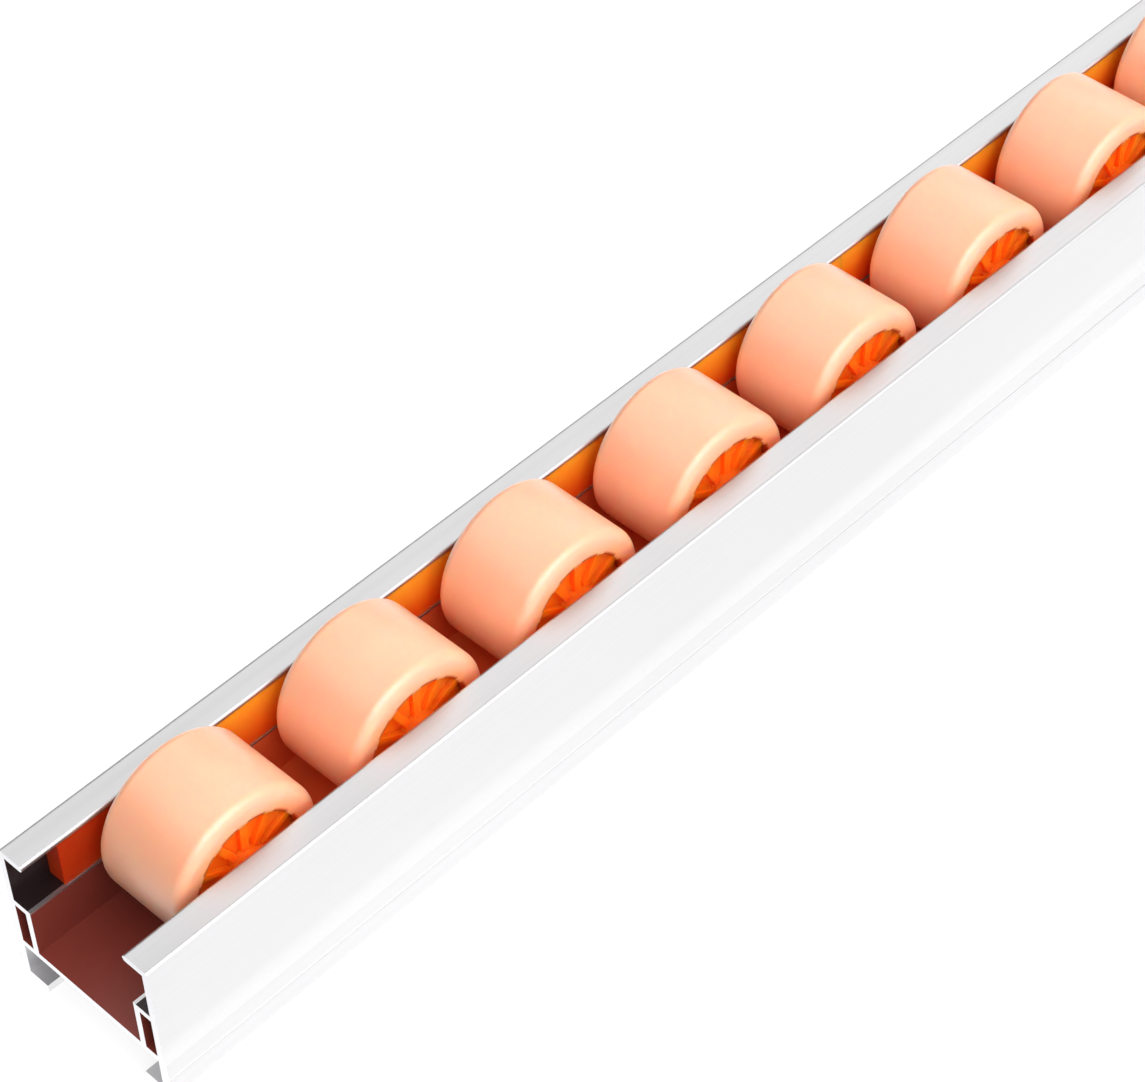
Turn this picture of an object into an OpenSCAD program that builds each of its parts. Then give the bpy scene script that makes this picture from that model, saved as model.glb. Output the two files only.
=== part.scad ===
// Flow rack roller track: a row of free-turning rollers in an extruded channel.
//
// X runs along the track, Y across it and Z up. The origin is at the middle of the
// base. Two moulded strips lie on ledges inside the side walls and hold the steel
// axles; each roller is a ribbed hub with a soft tread moulded round it.

/* [Track] */
// Number of rollers
roller_count = 10; // [4:2:12]
// Distance between neighbouring axles
pitch = 42.5; // [38:0.5:60]
// Distance from each end of the channel to the nearest axle
end_margin = 31; // [26:0.5:45]

/* [Rollers] */
// Diameter over the tread
roller_d = 34; // [30:0.5:36]
// Width over the tread
roller_w = 22; // [18:0.5:30]
// Rounding of the tread's outer edges
tread_edge_r = 2.2; // [1:0.1:3]
// Diameter of the hub, inside the tread
hub_d = 23.5; // [22:0.5:25]
// Thickness of the hub's outer ring
ring_t = 1.4; // [1:0.1:2]
// How far the hub lies inside the tread's ends
ring_recess = 0.4; // [0:0.1:1]
// Thickness of the hub's web
web_t = 2.5; // [2:0.5:5]
// Depth of the web and the ring below the ribs' fronts, towards the near side
web_depth = 1.1; // [0.5:0.1:3]
// Number of ribs on each side of the web
rib_count = 12; // [6:1:14]
// Thickness of a rib
rib_t = 1.5; // [1:0.1:1.8]
// How far the ribs lie inside the ring's back
rib_recess = 0.4; // [0.1:0.1:0.8]
// Diameter of the hub's boss round the axle
boss_d = 9.5; // [8.5:0.5:11]

/* [Axles] */
// Diameter of an axle
axle_d = 5; // [4:0.5:6]
// Chamfer on an axle's ends
axle_chamfer = 0.4; // [0.2:0.1:0.6]
// Radial running clearance between hub and axle
running_gap = 0.06; // [0.03:0.01:0.1]
// Radial clearance between an axle and its seats in the carriers
seat_gap = 0.02; // [0.01:0.01:0.05]
// Depth of the axle seats in the carriers
seat_depth = 2.8; // [2:0.1:3.2]

/* [Carriers] */
// Thickness of a carrier strip
carrier_t = 4.3; // [4:0.1:7]
// Height between the ledge and the underside of the lip
carrier_h = 12; // [11:0.5:14]
// Play between a carrier's top and the lip above it
carrier_play = 0.1; // [0.05:0.05:0.3]
// Distance from each end of the channel to the carriers
carrier_inset = 8.5; // [4:0.5:11]
// Thickness of the carriers' inner face
carrier_skin = 1.6; // [1.2:0.1:2]
// Thickness of the carriers' edges and of the ribs between their pockets
carrier_rib = 1.6; // [1.2:0.1:2]
// Length of the tongue that joins two lengths of carrier
tongue_l = 3; // [2:0.5:5]
// Clearance round the tongue
tongue_gap = 0.15; // [0.1:0.05:0.3]

/* [Channel] */
// Thickness of the walls, lips, ledges and floor
wall = 1.5; // [1.2:0.1:2]
// Gap between a tread's end and the trough's side
side_gap = 3; // [2:0.5:5]
// Setback of the carriers' faces from the trough's sides
carrier_setback = 0.2; // [0:0.1:0.5]
// How far the lips reach over the carriers' faces, inwards
lip_cover = 0.7; // [0:0.1:1]
// Clearance between the rollers and the floor
floor_gap = 1; // [0.5:0.5:3]
// Height of the floor's top above the base
floor_h = 11.5; // [8:0.5:16]
// How far the base stands out from the walls
base_step = 0.6; // [0.3:0.1:1.5]
// Height of the sloping shoulder on the base
shoulder_h = 1.6; // [1:0.1:2.4]
// Width of the inward-turned feet
foot_w = 7; // [5:0.5:9]
// Thickness of the feet
foot_t = 2; // [1.5:0.1:3]
// Rounding of the channel's top corners
corner_r = 0.8; // [0.4:0.1:1.2]
// Radius of the groove along each side of the base
groove_r = 0.3; // [0.2:0.1:0.8]

/* [Hidden] */
$fn = 64;
eps = 0.01;

track_l = 2 * end_margin + (roller_count - 1) * pitch;
roller_r = roller_d / 2;
hub_r = hub_d / 2;
boss_r = boss_d / 2;
axle_r = axle_d / 2;

axle_z = floor_h + floor_gap + roller_r;
ledge_z = axle_z - carrier_h / 2;
lip_under_z = axle_z + carrier_h / 2;
lip_top_z = lip_under_z + wall;

trough_y = roller_w / 2 + side_gap;
carrier_y = trough_y + carrier_setback;
wall_y = carrier_y + carrier_t;
outer_y = wall_y + wall;
base_y = outer_y + base_step;
lip_y = carrier_y - lip_cover;
shoulder_z = floor_h + base_step;

boss_end_play = 0.3;
rib_end_gap = 0.1;
hub_bore_r = axle_r + running_gap;
seat_r = axle_r + seat_gap;
carrier_l = track_l - 2 * carrier_inset;
pocket_l = pitch - 2 * (seat_r + 2 * carrier_rib);

SIDES = ["near", "far"];
HALVES = ["left", "right"];

function axle_x(i) = (i - (roller_count + 1) / 2) * pitch;
function side_sign(side) = side == "far" ? 1 : -1;

// Outer corner of a section, cut to a radius: the corner is at the origin and the
// material lies at lower y and lower z.
module corner_cut(r) {
    difference() {
        translate([-r, -r]) square(r + 1);
        translate([-r, -r]) circle(r);
    }
}

// One side of the channel's section: y across, z up.
module channel_side() {
    difference() {
        union() {
            translate([wall_y, shoulder_z - eps]) square([wall, lip_top_z - shoulder_z + eps]);
            translate([lip_y + wall / 2, lip_under_z]) square([outer_y - lip_y - wall / 2, wall]);
            translate([lip_y + wall / 2, lip_under_z + wall / 2]) circle(d = wall);
            translate([trough_y, ledge_z - wall]) square([outer_y - trough_y - eps, wall]);
            translate([trough_y, floor_h - wall]) square([wall, ledge_z - floor_h + wall]);
            polygon([
                [wall_y, 0], [base_y, 0], [base_y, shoulder_z - shoulder_h],
                [outer_y, shoulder_z], [wall_y, shoulder_z]
            ]);
            translate([base_y - foot_w, 0]) square([foot_w, foot_t]);
        }
        translate([outer_y, lip_top_z]) corner_cut(corner_r);
        translate([base_y, 0]) mirror([0, 1]) corner_cut(corner_r);
        translate([base_y, floor_h / 2]) circle(groove_r);
    }
}

// Extruded channel: lips, walls, ledges, a trough for the rollers and a slotted base.
module channel() {
    color("gainsboro")
    translate([-track_l / 2, 0, 0])
    rotate([90, 0, 90])
    linear_extrude(track_l) {
        translate([-wall_y - eps, floor_h - wall]) square([2 * (wall_y + eps), wall]);
        for (side = [0, 1]) mirror([side, 0]) channel_side();
    }
}

// Moulded strip that holds one end of half the axles, as it lies on the far side.
module far_carrier(half) {
    first = half == "left" ? 1 : roller_count / 2 + 1;
    last = first + roller_count / 2 - 1;
    left_x = half == "left" ? -carrier_l / 2 : tongue_gap / 2;
    strip_l = carrier_l / 2 - tongue_gap / 2;
    strip_h = carrier_h - carrier_play;
    pocket_h = strip_h - 2 * carrier_rib;
    difference() {
        union() {
            translate([left_x, carrier_y, ledge_z]) cube([strip_l, carrier_t, strip_h]);
            if (half == "left") tongue(tongue_l + tongue_gap, 0);
        }
        if (half == "right") tongue(tongue_l + 2 * tongue_gap, tongue_gap);
        for (i = [first:last]) translate([axle_x(i), carrier_y, axle_z])
            rotate([-90, 0, 0]) translate([0, 0, -1]) cylinder(r = seat_r, h = seat_depth + 1);
        for (i = [first:last - 1]) translate([(axle_x(i) + axle_x(i + 1)) / 2, 0, 0])
            for (s = [-1, 1]) translate([s * (pocket_l + carrier_rib) / 4, 0, 0])
                pocket((pocket_l - carrier_rib) / 2, pocket_h);
    }
}

// Tongue between two lengths of carrier, grown by a clearance for its groove.
module tongue(length, grow) {
    tongue_h = carrier_h / 2;
    translate([-tongue_gap, carrier_y + carrier_t - carrier_skin - grow, axle_z - tongue_h / 2 - grow])
        cube([length, carrier_skin + grow + (grow > 0 ? 1 : 0), tongue_h + 2 * grow]);
}

// Hollow in the back of a carrier.
module pocket(length, height) {
    translate([-length / 2, carrier_y + carrier_skin, ledge_z + carrier_rib])
        cube([length, carrier_t, height]);
}

module carrier(side, half) {
    color("darkorange")
    mirror([0, side == "near" ? 1 : 0, 0])
    far_carrier(half);
}

// Plain steel pin, seated in both carriers.
module axle(i) {
    half_l = carrier_y + seat_depth;
    color("silver")
    translate([axle_x(i), 0, axle_z])
    rotate([90, 0, 0])
    rotate_extrude()
    polygon([
        [0, -half_l], [axle_r - axle_chamfer, -half_l], [axle_r, -half_l + axle_chamfer],
        [axle_r, half_l - axle_chamfer], [axle_r - axle_chamfer, half_l], [0, half_l]
    ]);
}

// Moulded hub: outer ring, a web flush with the ring's front, low ribs on its face, deep
// ribs behind it and a boss that keeps the roller in the middle of the trough. The front
// points along the shape's own Z, which the turn lays towards the near side.
module hub(i) {
    ring_w = roller_w - 2 * ring_recess;
    boss_w = 2 * (carrier_y - boss_end_play);
    rib_w = ring_w - rib_recess;
    rib_end_r = hub_r - rib_end_gap;
    ring_inner_r = hub_r - ring_t;
    color("orangered")
    translate([axle_x(i), 0, axle_z])
    rotate([90, 0, 0])
    difference() {
        union() {
            rotate_extrude() {
                translate([ring_inner_r, -ring_w / 2]) square([ring_t, ring_w - web_depth]);
                translate([0, ring_w / 2 - web_depth - web_t]) square([hub_r - ring_t / 2, web_t]);
                translate([0, -boss_w / 2]) square([boss_r, boss_w]);
            }
            for (k = [0:rib_count - 1]) rotate([0, 0, (k + 0.5) * 360 / rib_count])
                translate([boss_r - 0.5, -rib_t / 2, -ring_w / 2 + rib_recess])
                    cube([rib_end_r - boss_r + 0.5, rib_t, rib_w]);
        }
        cylinder(r = hub_bore_r, h = boss_w + 2, center = true);
    }
}

// Soft tread moulded round the hub.
module tread(i) {
    color("peachpuff")
    translate([axle_x(i), 0, axle_z])
    rotate([90, 0, 0])
    rotate_extrude()
    difference() {
        translate([hub_r, -roller_w / 2]) square([roller_r - hub_r, roller_w]);
        for (end = [0, 1]) mirror([0, end])
            translate([roller_r, roller_w / 2]) corner_cut(tread_edge_r);
    }
}

channel();
for (side = SIDES) for (half = HALVES)
    carrier(side, half);
for (i = [1:roller_count]) axle(i);
for (i = [1:roller_count]) hub(i);
for (i = [1:roller_count]) tread(i);
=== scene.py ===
"""Finishes, moulded rollers and studio for a flow rack roller track.

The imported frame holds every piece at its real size: the extruded channel, the two
rows of carrier strips, the axles, and a hub and a tread for each roller. Channel,
carriers and axles keep their CAD shapes. The hubs and treads are remade here with
the rounded edges of moulded pieces. Lengths are in metres.
"""

import math

import bmesh
import bpy
from mathutils import Matrix, Vector


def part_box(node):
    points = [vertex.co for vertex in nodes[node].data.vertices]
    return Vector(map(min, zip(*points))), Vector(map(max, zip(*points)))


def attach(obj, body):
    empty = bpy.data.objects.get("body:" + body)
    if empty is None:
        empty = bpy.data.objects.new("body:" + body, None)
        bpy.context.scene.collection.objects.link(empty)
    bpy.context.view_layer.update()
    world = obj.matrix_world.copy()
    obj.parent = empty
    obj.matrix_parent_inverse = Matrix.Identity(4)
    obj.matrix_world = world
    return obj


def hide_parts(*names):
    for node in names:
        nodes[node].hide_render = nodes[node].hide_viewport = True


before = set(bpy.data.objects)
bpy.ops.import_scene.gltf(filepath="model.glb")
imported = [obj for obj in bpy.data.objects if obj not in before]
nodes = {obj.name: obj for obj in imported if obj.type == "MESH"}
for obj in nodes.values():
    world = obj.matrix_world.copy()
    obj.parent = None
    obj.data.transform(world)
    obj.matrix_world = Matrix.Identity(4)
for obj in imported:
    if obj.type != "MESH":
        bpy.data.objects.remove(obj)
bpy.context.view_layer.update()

# Camera: a long lens off the sawn end of the track, on its near side, looking down
# along the row of rollers.
axle_low, axle_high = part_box("axle_1")
axle_height = (axle_low.z + axle_high.z) / 2
VIEW_POINT = Vector((-0.0944, 0.0023, axle_height))
VIEW_DISTANCE = 0.6175
VIEW_HEADING = math.radians(44.79)
VIEW_DROP = math.radians(46.39)
VIEW_ROLL = math.radians(1.49)
FOCAL_LENGTH = 99.7
SENSOR_WIDTH = 36
NEAR_CLIP = 0.01
turn = (
    Matrix.Rotation(VIEW_HEADING - math.pi / 2, 3, "Z")
    @ Matrix.Rotation(math.pi / 2 - VIEW_DROP, 3, "X")
    @ Matrix.Rotation(-VIEW_ROLL, 3, "Z")
)
camera = bpy.data.objects.new("camera", bpy.data.cameras.new("camera"))
camera.data.lens = FOCAL_LENGTH
camera.data.sensor_width = SENSOR_WIDTH
camera.data.clip_start = NEAR_CLIP
camera.matrix_world = Matrix.LocRotScale(
    VIEW_POINT + turn @ Vector((0, 0, VIEW_DISTANCE)), turn.to_quaternion(), None
)
bpy.context.scene.collection.objects.link(camera)
bpy.context.scene.camera = camera


# Studio: a pale room and a pale floor, with a long canopy low over the track's far
# side, a broad panel in front of its near side and a key panel off its sawn end.
class Value:
    """A node's output. Arithmetic on it adds Math nodes."""

    def __init__(self, shading, socket):
        self.shading, self.socket = shading, socket

    def math(self, operation, first, second=0.0):
        return self.shading.node("ShaderNodeMath", {"operation": operation}, {0: first, 1: second})

    def __add__(self, other):
        return self.math("ADD", self, other)

    def __sub__(self, other):
        return self.math("SUBTRACT", self, other)

    def __rsub__(self, other):
        return self.math("SUBTRACT", other, self)

    def __mul__(self, other):
        return self.math("MULTIPLY", self, other)

    def __gt__(self, other):
        return self.math("GREATER_THAN", self, other)

    def __lt__(self, other):
        return self.math("LESS_THAN", self, other)

    def __abs__(self):
        return self.math("ABSOLUTE", self)

    __radd__ = __add__
    __rmul__ = __mul__


class Shading:
    """A node tree, and the one method that adds its nodes."""

    def __init__(self, tree):
        self.tree = tree

    def node(self, kind, settings=None, inputs=None, output=0):
        """Adds a node: its settings first, then its inputs' values or links."""
        added = self.tree.nodes.new(kind)
        for key, value in (settings or {}).items():
            setattr(added, key, value)
        for key, value in (inputs or {}).items():
            if isinstance(value, Value):
                self.tree.links.new(value.socket, added.inputs[key])
            else:
                added.inputs[key].default_value = value
        return Value(self, added.outputs[output])

    def place(self):
        """Object coordinates."""
        return self.node("ShaderNodeTexCoord", output="Object")

    def split(self, vector):
        return [self.node("ShaderNodeSeparateXYZ", inputs={0: vector}, output=n) for n in range(3)]

    def rise(self, value, start, end):
        """From 0 where the value is at start to 1 where it is at end, and level beyond them."""
        return self.node("ShaderNodeMapRange", inputs={0: value, 1: start, 2: end})

    def grain(self, per_metre, detail=2.0):
        """Noise from 0 to 1 with the given grains per metre along X, Y and Z."""
        scaled = self.node("ShaderNodeMapping", inputs={"Vector": self.place(), "Scale": per_metre})
        sockets = {"Vector": scaled, "Scale": 1.0, "Detail": detail}
        return self.node("ShaderNodeTexNoise", inputs=sockets, output="Fac")

    def mix(self, share, first, second):
        """Colour between first and second."""
        colours = {0: share, 6: first, 7: second}
        return self.node("ShaderNodeMix", {"data_type": "RGBA"}, colours, 2)


class Finish(Shading):
    """A node material on a Principled shader, whose constant sockets are given by name."""

    def __init__(self, name, **constants):
        self.material = bpy.data.materials.new(name)
        self.material.use_nodes = True
        super().__init__(self.material.node_tree)
        self.shader = self.tree.nodes["Principled BSDF"]
        for key, value in constants.items():
            self.shader.inputs[key.replace("_", " ")].default_value = value

    def feed(self, key, value):
        self.tree.links.new(value.socket, self.shader.inputs[key])

    def relief(self, height, depth):
        """Feeds the shader's normal from a height from 0 to 1, depth metres deep."""
        bump = self.node("ShaderNodeBump", inputs={"Height": height, "Distance": depth})
        self.feed("Normal", bump)


def shade(red, green, blue):
    """A display colour of 0 to 255 as the linear colour that shaders take."""
    linear = [((c / 255 + 0.055) / 1.055) ** 2.4 for c in (red, green, blue)]
    return (*linear, 1.0)


SMOOTH_ANGLE = math.radians(35)


def finished_mesh(name, shape, finish):
    """An object with its mesh in place, smooth but for its sharp edges."""
    mesh = bpy.data.meshes.new(name)
    shape.to_mesh(mesh)
    shape.free()
    mesh.materials.append(finish.material)
    mesh.shade_smooth()
    mesh.set_sharp_from_angle(angle=SMOOTH_ANGLE)
    made = bpy.data.objects.new(name, mesh)
    bpy.context.scene.collection.objects.link(made)
    return made


# The floor's own colour takes the shadow. Added light makes it white where it is
# looked at and where metal mirrors it, but metal mirrors it dark beyond the sawn end.
FLOOR_SIZE = 6.0
FLOOR_SHADE = 0.24
FLOOR_WHITE = 0.78
FLOOR_MIRRORED = 1.16
DARK_STRETCH_END, LIT_STRETCH_START = -0.32, -0.22
floor_finish = Finish(
    "studio_floor", Base_Color=(FLOOR_SHADE, FLOOR_SHADE, FLOOR_SHADE, 1), Roughness=0.9,
    Specular_IOR_Level=0,
)
along = floor_finish.split(floor_finish.place())[0]
lit_stretch = floor_finish.rise(along, DARK_STRETCH_END, LIT_STRETCH_START)
floor_seen = floor_finish.node("ShaderNodeLightPath", output="Is Camera Ray")
mirrored = floor_finish.node("ShaderNodeLightPath", output="Is Glossy Ray") * lit_stretch
glow = floor_finish.node("ShaderNodeEmission", inputs={
    "Color": (1, 1, 1, 1), "Strength": floor_seen * FLOOR_WHITE + mirrored * FLOOR_MIRRORED,
})
own_colour = Value(floor_finish, floor_finish.shader.outputs[0])
lit_floor = floor_finish.node("ShaderNodeAddShader", inputs={0: own_colour, 1: glow})
floor_output = floor_finish.tree.nodes["Material Output"]
floor_finish.tree.links.new(lit_floor.socket, floor_output.inputs["Surface"])
floor_shape = bmesh.new()
bmesh.ops.create_grid(floor_shape, x_segments=2, y_segments=2, size=FLOOR_SIZE / 2)
floor = finished_mesh("floor", floor_shape, floor_finish)

# The room is bright in front of the track's near side, dimmer overhead, and dark
# behind the track and beyond its sawn end.
ROOM_LIGHT = 0.95
DARK_END_LIGHT = 0.12
BRIGHT_SIDE = (0.6, -0.8, -0.3)
DARK_TURN, BRIGHT_TURN = -0.6, 0.3
world = bpy.data.worlds.new("studio")
world.use_nodes = True
bpy.context.scene.world = world
room = Shading(world.node_tree)
direction = room.node("ShaderNodeTexCoord", output="Generated")
turned = room.node(
    "ShaderNodeVectorMath", {"operation": "DOT_PRODUCT"}, {0: direction, 1: BRIGHT_SIDE}, "Value"
)
room_light = room.node("ShaderNodeMapRange", inputs={
    "Value": turned, "From Min": DARK_TURN, "From Max": BRIGHT_TURN,
    "To Min": DARK_END_LIGHT, "To Max": ROOM_LIGHT,
})
room_seen = room.node("ShaderNodeLightPath", output="Is Camera Ray")
seen_light = room.node(
    "ShaderNodeMapRange", inputs={"Value": room_seen, "To Min": room_light, "To Max": 1.0}
)
backdrop = world.node_tree.nodes["Background"]
backdrop.inputs["Color"].default_value = (1, 1, 1, 1)
world.node_tree.links.new(seen_light.socket, backdrop.inputs["Strength"])


def light_panel(name, middle, towards, width, height, brightness):
    """A rectangular lamp that looks as bright as a white card lit at the given level."""
    lamp = bpy.data.lights.new(name, "AREA")
    lamp.shape = "RECTANGLE"
    lamp.size, lamp.size_y = width, height
    lamp.energy = brightness * math.pi * width * height
    panel = bpy.data.objects.new(name, lamp)
    panel.location = middle
    aim = Vector(towards) - Vector(middle)
    panel.rotation_euler = aim.to_track_quat("-Z", "Y").to_euler()
    bpy.context.scene.collection.objects.link(panel)


light_panel(
    "canopy", (0.13, 0.19, 0.32), (0.13, 0.19, 0), width=1.2, height=0.22, brightness=1.3
)
light_panel(
    "front_panel", (-0.1, -0.9, 0.8), (-0.05, 0, 0.03), width=2.2, height=1.2, brightness=1.6
)
light_panel(
    "key_panel", (-0.5, -0.55, 0.95), (-0.15, 0, 0.03), width=1.2, height=1.0, brightness=2.0
)

bpy.context.scene.view_settings.view_transform = "Standard"

# Channel: one aluminium extrusion, satin anodised. Its skin has faint die lines
# along its length, and its sawn ends show the bright arcs of the blade. Painted shade
# covers its inside: brown, paler and oranger along the rollers for their orange light,
# near black above the ledges, and left off the ledges' inner edges.
SKIN_ROUGHNESS = 0.36
SKIN_RELIEF = 0.00002
DIE_LINE_TINT = 0.25
BASE_HIGHLIGHT, SHOULDER_HIGHLIGHT = 0.1, 0.32
SHOULDER_FOOT, SHOULDER_TOP = 0.0105, 0.0121
HIGHLIGHT_TOP = 0.016
END_FACING = 0.7
BLADE_CENTRE = (0.0, -0.11, -0.08)
BLADE_STEP = 0.0011
BLADE_WANDER = 4
TROUGH_FLOOR = 0.0115
SHADE_COVER = 0.8
MASK_MARGIN = 0.0001
LAST_AXLES = 0.191
BARE_EDGE_DEPTH = 0.0006
BARE_EDGE_Y = 0.0147
skin = Finish("anodised_channel")
die_lines = skin.grain((3, 1400, 1400), detail=3.0)
clouds = skin.grain((14, 30, 30))
along, across, height = skin.split(skin.place())
facing = skin.node("ShaderNodeTexCoord", output="Normal")
faced = skin.node("ShaderNodeVectorMath", {"operation": "ABSOLUTE"}, {0: facing})
sawn = skin.split(faced)[0] > END_FACING

colour = skin.mix(clouds, shade(204, 203, 204), shade(211, 210, 211))
colour = skin.mix(die_lines * DIE_LINE_TINT, colour, shade(190, 190, 192))
# Painted highlight: from a little above the shoulder downwards the skin is painted lighter, most on
# the shoulder and a little on the base under it.
low = skin.rise(height, HIGHLIGHT_TOP, SHOULDER_TOP)
above_foot = height > SHOULDER_FOOT - MASK_MARGIN
tint = low * (above_foot * SHOULDER_HIGHLIGHT + BASE_HIGHLIGHT)
colour = skin.mix(tint, colour, shade(226, 225, 226))
colour = skin.mix(sawn, colour, shade(222, 222, 225))

# Painted shade inside the trough and under the lips: brown past the last axles, a paler orange
# brown along the rollers standing for their orange light, near black above the ledges, and none on
# the ledges' inner edges.
strip_low, strip_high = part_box("far_carrier_left")
inward = abs(across)
inside = (strip_high.y + MASK_MARGIN > inward) * (height > TROUGH_FLOOR - MASK_MARGIN)
inside = inside * (strip_high.z > height)
bare_edge = (height > strip_low.z - BARE_EDGE_DEPTH) * (BARE_EDGE_Y > inward)
painted_shade = inside * (1 - sawn) * (1 - bare_edge)
past_axles = abs(along) > LAST_AXLES
painted_shade_colour = skin.mix(past_axles, shade(225, 100, 50), shade(124, 52, 42))
above_ledge = height > strip_low.z - MASK_MARGIN
painted_shade_colour = skin.mix(above_ledge, painted_shade_colour, shade(30, 15, 16))

reach = skin.node(
    "ShaderNodeVectorMath", {"operation": "DISTANCE"}, {0: skin.place(), 1: BLADE_CENTRE}, "Value"
)
wander = skin.grain((0, 500, 500))
turns = reach * (math.tau / BLADE_STEP) + wander * BLADE_WANDER
arcs = skin.node("ShaderNodeMath", {"operation": "SINE"}, {0: turns})

skin.feed("Base Color", skin.mix(painted_shade, colour, painted_shade_colour))
# The painted shade also takes away most of the metal's shine.
skin.feed("Metallic", 1 - painted_shade * SHADE_COVER)
skin.feed("Roughness", SKIN_ROUGHNESS + die_lines * 0.1 - sawn * 0.1)
skin.relief(die_lines * (1 - sawn) + (arcs * 0.5 + 0.5) * sawn, SKIN_RELIEF)


def dress(word, finish):
    """Gives a finish to the frame's pieces with the given word in their names."""
    for name, node in nodes.items():
        if word in name:
            node.data.materials.clear()
            node.data.materials.append(finish.material)


dress("channel", skin)

# Carriers: strips of orange plastic, moulded in two lengths a side, which lie on
# the channel's ledges under its lips and hold the axles' ends. Their colour holds
# painted light and shade: paler towards their tops, deeper towards the ledge, and
# darker still at the track's ends.
STRIP_ROUGHNESS = 0.34
STRIP_RELIEF = 0.00002
FLOW_TINT = 0.15
DEEP_MARGIN, PALE_MARGIN = 0.0015, 0.0009
END_SHADE_START, END_SHADE_FULL = 0.195, 0.202
strip = Finish(
    "moulded_carrier", Subsurface_Weight=1.0, Subsurface_Scale=0.002,
    Subsurface_Radius=(1.0, 0.3, 0.05),
)
flow = strip.grain((25, 60, 90), detail=3.0)
pits = strip.grain((2500, 2500, 2500), detail=1.0)
along, _, height = strip.split(strip.place())
# Painted light and shade: the strips are painted paler and yellower towards their tops and deeper
# orange towards the ledge, with the flow marks mixed in.
painted_top_light = strip.rise(height, strip_low.z + DEEP_MARGIN, strip_high.z - PALE_MARGIN)
tint = painted_top_light * (1 - FLOW_TINT) + flow * FLOW_TINT
colour = strip.mix(tint, shade(255, 77, 4), shade(255, 162, 38))
# Painted shade: towards the track's ends the strips darken to a deep red orange.
painted_end_shade = strip.rise(abs(along), END_SHADE_START, END_SHADE_FULL)
strip.feed("Base Color", strip.mix(painted_end_shade, colour, shade(180, 48, 4)))
strip.feed("Roughness", STRIP_ROUGHNESS + flow * 0.12)
strip.relief(pits, STRIP_RELIEF)
dress("carrier", strip)

# Axles: ground steel pins, one through each roller and seated in both carriers,
# with fine rings round them from the grinding wheel.
PIN_ROUGHNESS = 0.22
PIN_RELIEF = 0.000008
pin = Finish("ground_axle", Metallic=1.0)
rings = pin.grain((300, 5000, 300))
pin.feed("Base Color", pin.mix(rings, shade(196, 198, 202), shade(214, 215, 218)))
pin.feed("Roughness", PIN_ROUGHNESS + rings * 0.14)
pin.relief(rings, PIN_RELIEF)
dress("axle", pin)

# Hubs: orange plastic mouldings, one to a roller. The web lies flush with the ring's
# front, with low ribs across its face, and deep pockets between ribs lighten the back.
# The long boss runs on the axle with a little play.
RIBS = 12
COLUMNS = 8
RIB_THICKNESS = 0.0015
RIB_BACK_RECESS = 0.0004
RING_THICKNESS = 0.0014
WEB_THICKNESS = 0.0025
WEB_DEPTH = 0.0011
BOSS_RADIUS = 0.00475
HUB_RECESS = 0.0004
RUNNING_GAP = 0.00006
EDGE_ROUNDING = 0.0003
EDGE_STEPS = 2
HUB_ROUGHNESS = 0.26
HUB_RELIEF = 0.000015
NEARLY = 1e-5
SAME_POINT = 1e-6
hub_finish = Finish(
    "moulded_hub", Subsurface_Weight=1.0, Subsurface_Scale=0.006,
    Subsurface_Radius=(1.0, 0.3, 0.05),
)
flow = hub_finish.grain((120, 60, 120), detail=3.0)
hub_finish.feed("Base Color", hub_finish.mix(flow, shade(255, 94, 8), shade(255, 114, 14)))
hub_finish.feed("Roughness", HUB_ROUGHNESS + flow * 0.12)
hub_finish.relief(hub_finish.grain((1800, 1800, 1800), detail=1.0), HUB_RELIEF)

tread_low, tread_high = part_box("tread_1")
hub_low, hub_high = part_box("hub_1")
ring_radius = (hub_high.z - hub_low.z) / 2
ring_inner = ring_radius - RING_THICKNESS
bore_radius = (axle_high.z - axle_low.z) / 2 + RUNNING_GAP
boss_end = hub_high.y
hub_face = tread_high.y - HUB_RECESS
web_front = WEB_DEPTH - hub_face
rib_back = hub_face - RIB_BACK_RECESS
sector = math.tau / RIBS


def draw_section(shape, outline):
    """One face, with its corners given by radius and by place along the axle."""
    return shape.faces.new([shape.verts.new((radius, y, 0)) for radius, y in outline])


def round_corners(shape, corners, rounding, steps):
    """Rounds corners of a section."""
    bmesh.ops.bevel(
        shape, geom=corners, offset=rounding, offset_type="OFFSET", segments=steps,
        profile=0.5, affect="VERTICES", material=-1,
    )


def spin_section(shape, steps):
    """Spins the edge of a section round the axle's line."""
    bmesh.ops.delete(shape, geom=shape.faces[:], context="FACES_ONLY")
    bmesh.ops.spin(
        shape, geom=shape.verts[:] + shape.edges[:], cent=(0, 0, 0), axis=(0, 1, 0),
        angle=math.tau, steps=steps, use_merge=True,
    )
    bmesh.ops.remove_doubles(shape, verts=shape.verts, dist=SAME_POINT)


def at_axle(shape, number):
    """A copy of a roller's piece, moved to the given axle."""
    low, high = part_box(f"axle_{number}")
    placed = shape.copy()
    bmesh.ops.translate(placed, verts=placed.verts, vec=(low + high) / 2)
    return placed


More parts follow.
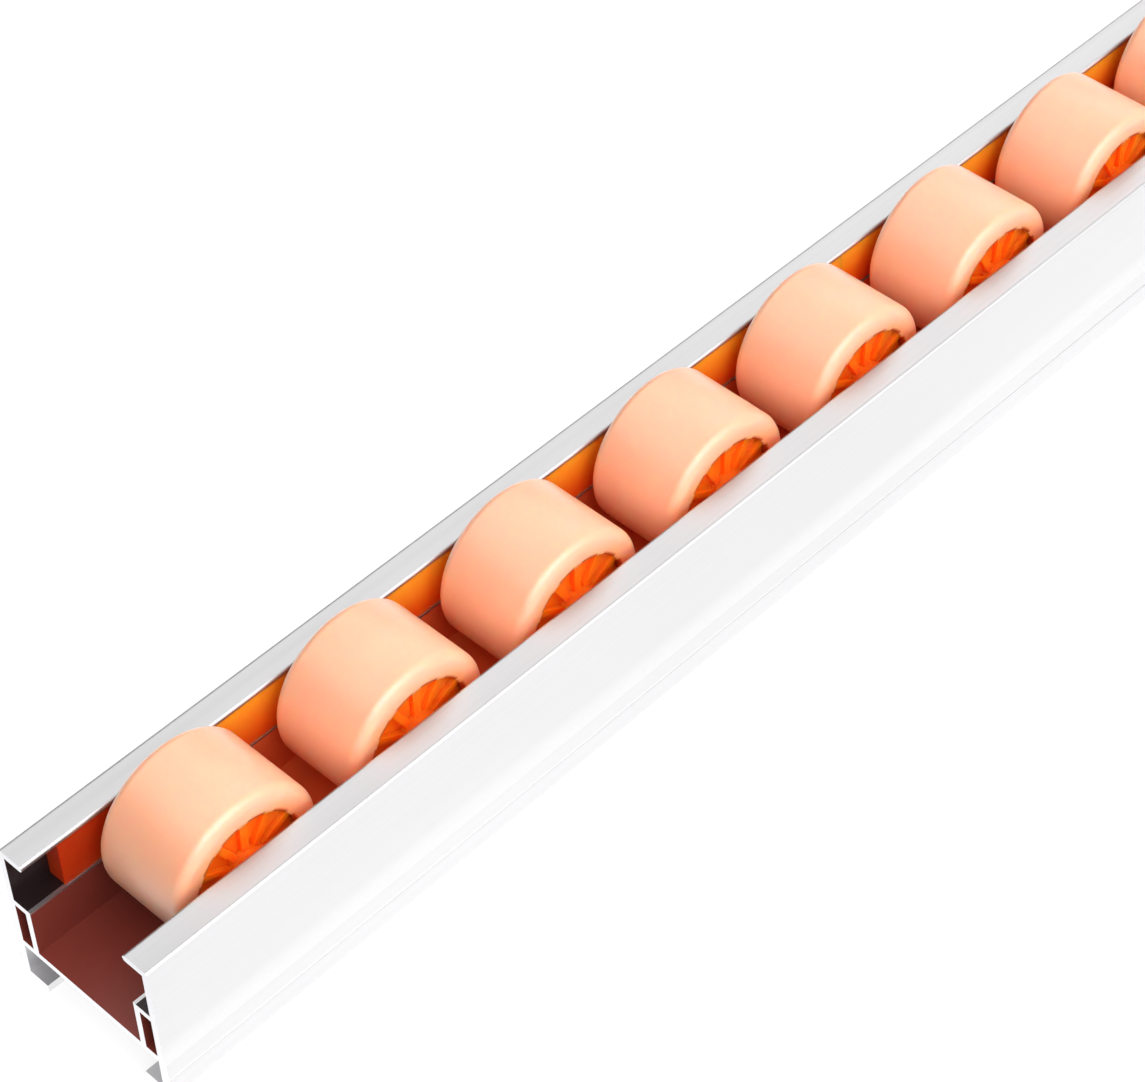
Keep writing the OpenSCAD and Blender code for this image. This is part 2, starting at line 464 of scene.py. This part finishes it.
# The blank's outer corners are rounded, and its section is spun round the axle's line.
hub_shape = bmesh.new()
section = draw_section(hub_shape, (
    (bore_radius, -boss_end), (BOSS_RADIUS, -boss_end), (BOSS_RADIUS, -hub_face),
    (ring_radius, -hub_face), (ring_radius, web_front), (ring_radius, hub_face),
    (ring_inner, hub_face), (ring_inner, rib_back), (BOSS_RADIUS, rib_back),
    (BOSS_RADIUS, boss_end), (bore_radius, boss_end),
))
corners = [
    v for v in section.verts if v.co.y < -hub_face - NEARLY or v.co.y > rib_back + NEARLY
]
round_corners(hub_shape, corners, EDGE_ROUNDING, EDGE_STEPS)
spin_section(hub_shape, RIBS * COLUMNS)

# The columns beside the middle of each rib move to its flat sides.
for v in hub_shape.verts:
    radius = math.hypot(v.co.x, v.co.z)
    column = round(math.atan2(v.co.z, v.co.x) % math.tau / sector * COLUMNS)
    rib, place = divmod(column, COLUMNS)
    side = math.asin(RIB_THICKNESS / 2 / max(radius, BOSS_RADIUS))
    angle = rib * sector
    if place:
        angle += side + (place - 1) / (COLUMNS - 2) * (sector - 2 * side)
    v.co.x, v.co.z = radius * math.cos(angle), radius * math.sin(angle)


def between_ribs(face, rib):
    """How far out a face's middle lies, or 0 where it isn't in the pocket after a rib."""
    middle = face.calc_center_median()
    radius = math.hypot(middle.x, middle.z)
    turned = math.atan2(middle.z, middle.x) % math.tau - rib * sector
    if not 0 < turned < sector:
        return 0
    clear = min(math.sin(turned), math.sin(sector - turned)) * radius > RIB_THICKNESS / 2
    return radius if clear else 0


# Between the ribs the front is pushed in to the web, and the back in to behind it. The
# front pockets run out over the ring, so their walls at its rim are taken away.
for face_y, face_radius, web_y in (
    (-hub_face, ring_radius, web_front), (rib_back, ring_inner, web_front + WEB_THICKNESS)
):
    for rib in range(RIBS):
        pocket = [
            f for f in hub_shape.faces
            if abs(f.calc_center_median().y - face_y) < NEARLY
            and BOSS_RADIUS < between_ribs(f, rib) < face_radius
        ]
        pushed = bmesh.ops.extrude_face_region(hub_shape, geom=pocket)["geom"]
        web_verts = [g for g in pushed if isinstance(g, bmesh.types.BMVert)]
        bmesh.ops.translate(hub_shape, verts=web_verts, vec=(0, web_y - face_y, 0))
        bmesh.ops.delete(hub_shape, geom=pocket, context="FACES_ONLY")
        if face_radius == ring_radius:
            open_rim = [
                f for f in hub_shape.faces
                if face_y < f.calc_center_median().y < web_y - NEARLY
                and between_ribs(f, rib) > ring_inner
            ]
            bmesh.ops.delete(hub_shape, geom=open_rim, context="FACES")
bmesh.ops.remove_doubles(hub_shape, verts=hub_shape.verts, dist=SAME_POINT)
bmesh.ops.recalc_face_normals(hub_shape, faces=hub_shape.faces)

rollers = [name.removeprefix("axle_") for name in nodes if name.startswith("axle_")]
for number in rollers:
    hub = finished_mesh(f"hub_moulding_{number}", at_axle(hub_shape, number), hub_finish)
    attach(hub, f"roller_{number}")
    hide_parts(f"hub_{number}")
hub_shape.free()

# Treads: rings of soft, smooth, slightly clear plastic, moulded round the hubs, with
# well rounded outer edges.
TREAD_EDGE = 0.0022
TREAD_EDGE_STEPS = 8
TREAD_BORE_EDGE = 0.0003
TREAD_STEPS = 144
TREAD_ROUGHNESS = 0.26
TREAD_RELIEF = 0.00002
SHADOW_WIDTH = 0.0009
SHADOW_BREAK = 1 / 6
tread_finish = Finish(
    "soft_tread", Subsurface_Weight=1.0, Subsurface_Scale=0.0025,
    Subsurface_Radius=(1.0, 0.28, 0.12), Coat_Roughness=0.5, Coat_IOR=2.0,
)
clouds = tread_finish.grain((90, 90, 90))
colour = tread_finish.mix(clouds, shade(255, 173, 132), shade(255, 181, 142))
# Painted light: the tread is painted oranger towards the hub, a glow of the hub's orange through
# it.
reach = tread_finish.node("ShaderNodeAttribute", {"attribute_name": "reach"}, output="Fac")
colour = tread_finish.mix(reach, shade(255, 160, 100), colour)
# Painted shadow: a dark brown line round the hub, without the coat's shine, broken at the ribs'
# ends.
joint_shadow = tread_finish.node("ShaderNodeAttribute", {"attribute_name": "joint_shadow"}, output="Fac")
tread_finish.feed("Base Color", tread_finish.mix(joint_shadow, colour, shade(160, 56, 5)))
tread_finish.feed("Coat Weight", 1 - joint_shadow)
tread_finish.feed("Roughness", TREAD_ROUGHNESS + clouds * 0.1)
tread_finish.relief(tread_finish.grain((900, 900, 900), detail=3.0), TREAD_RELIEF)

tread_radius = (tread_high.z - tread_low.z) / 2
tread_end = tread_high.y
shadow_edge_radius = ring_radius + SHADOW_WIDTH
flat_radius = tread_radius - TREAD_EDGE
tread_shape = bmesh.new()
section = draw_section(tread_shape, (
    (ring_radius, -tread_end), (shadow_edge_radius, -tread_end), (tread_radius, -tread_end),
    (tread_radius, tread_end), (shadow_edge_radius, tread_end), (ring_radius, tread_end),
))
outer = [v for v in section.verts if v.co.x > tread_radius - NEARLY]
inner = [v for v in section.verts if v.co.x < ring_radius + NEARLY]
round_corners(tread_shape, outer, TREAD_EDGE, TREAD_EDGE_STEPS)
round_corners(tread_shape, inner, TREAD_BORE_EDGE, EDGE_STEPS)
spin_section(tread_shape, TREAD_STEPS)
bmesh.ops.recalc_face_normals(tread_shape, faces=tread_shape.faces)

# The edge round the hub is marked for its painted shadow, a dark line which the ribs'
# ends break, and every point for how far out it lies, which sets the painted glow.
reach_layer = tread_shape.verts.layers.float.new("reach")
joint_shadow_layer = tread_shape.verts.layers.float.new("joint_shadow")
for v in tread_shape.verts:
    radius = math.hypot(v.co.x, v.co.z)
    v[reach_layer] = min((radius - ring_radius) / (flat_radius - ring_radius), 1)
    from_rib = (math.atan2(v.co.z, v.co.x) + sector / 2) % sector - sector / 2
    if radius < shadow_edge_radius - NEARLY and abs(from_rib) > sector * SHADOW_BREAK:
        v[joint_shadow_layer] = 1
for number in rollers:
    tread = finished_mesh(f"tread_moulding_{number}", at_axle(tread_shape, number), tread_finish)
    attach(tread, f"roller_{number}")
    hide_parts(f"tread_{number}")
tread_shape.free()
